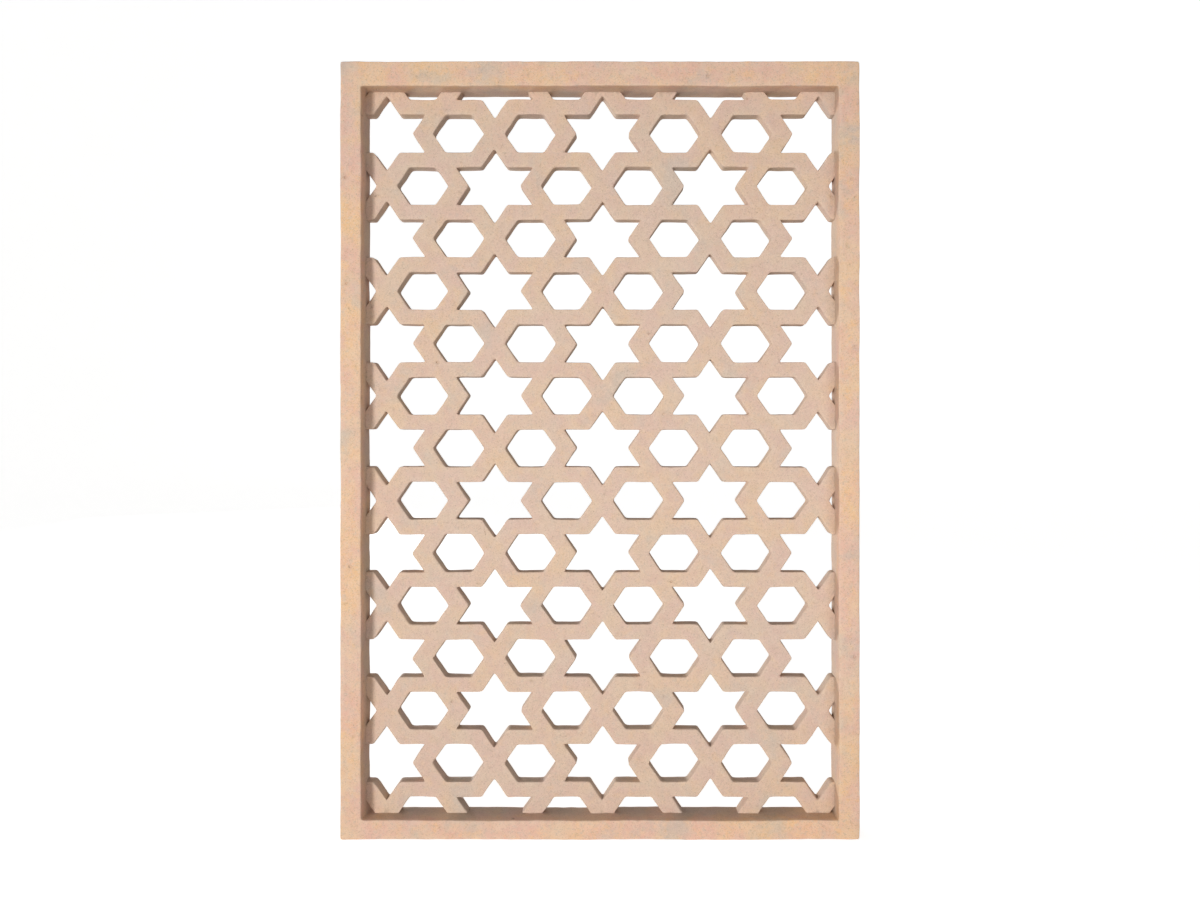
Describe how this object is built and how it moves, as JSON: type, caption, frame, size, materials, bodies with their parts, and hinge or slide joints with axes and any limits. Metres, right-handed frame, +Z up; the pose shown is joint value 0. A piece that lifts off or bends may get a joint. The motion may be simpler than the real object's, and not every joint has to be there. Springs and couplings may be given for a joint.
{
  "type": "concrete jali panel",
  "caption": "One-piece cast concrete screen of six-pointed stars and hexagons, recessed in a deep plain border, to be built into a wall opening",
  "frame": {"origin": "centre of the flat underside, where the panel is bedded in its opening", "axes": "+Z up, -Y out of the front, which has the recess, +X to the right as seen from the front"},
  "size_m": [0.61, 0.04, 0.914],
  "materials": {
    "buff_concrete": "dry, matt, finely sanded cast face in mottled peach and buff"
  },
  "bodies": {
    "root": {"jali_panel": "buff_concrete"}
  },
  "joints": []
}
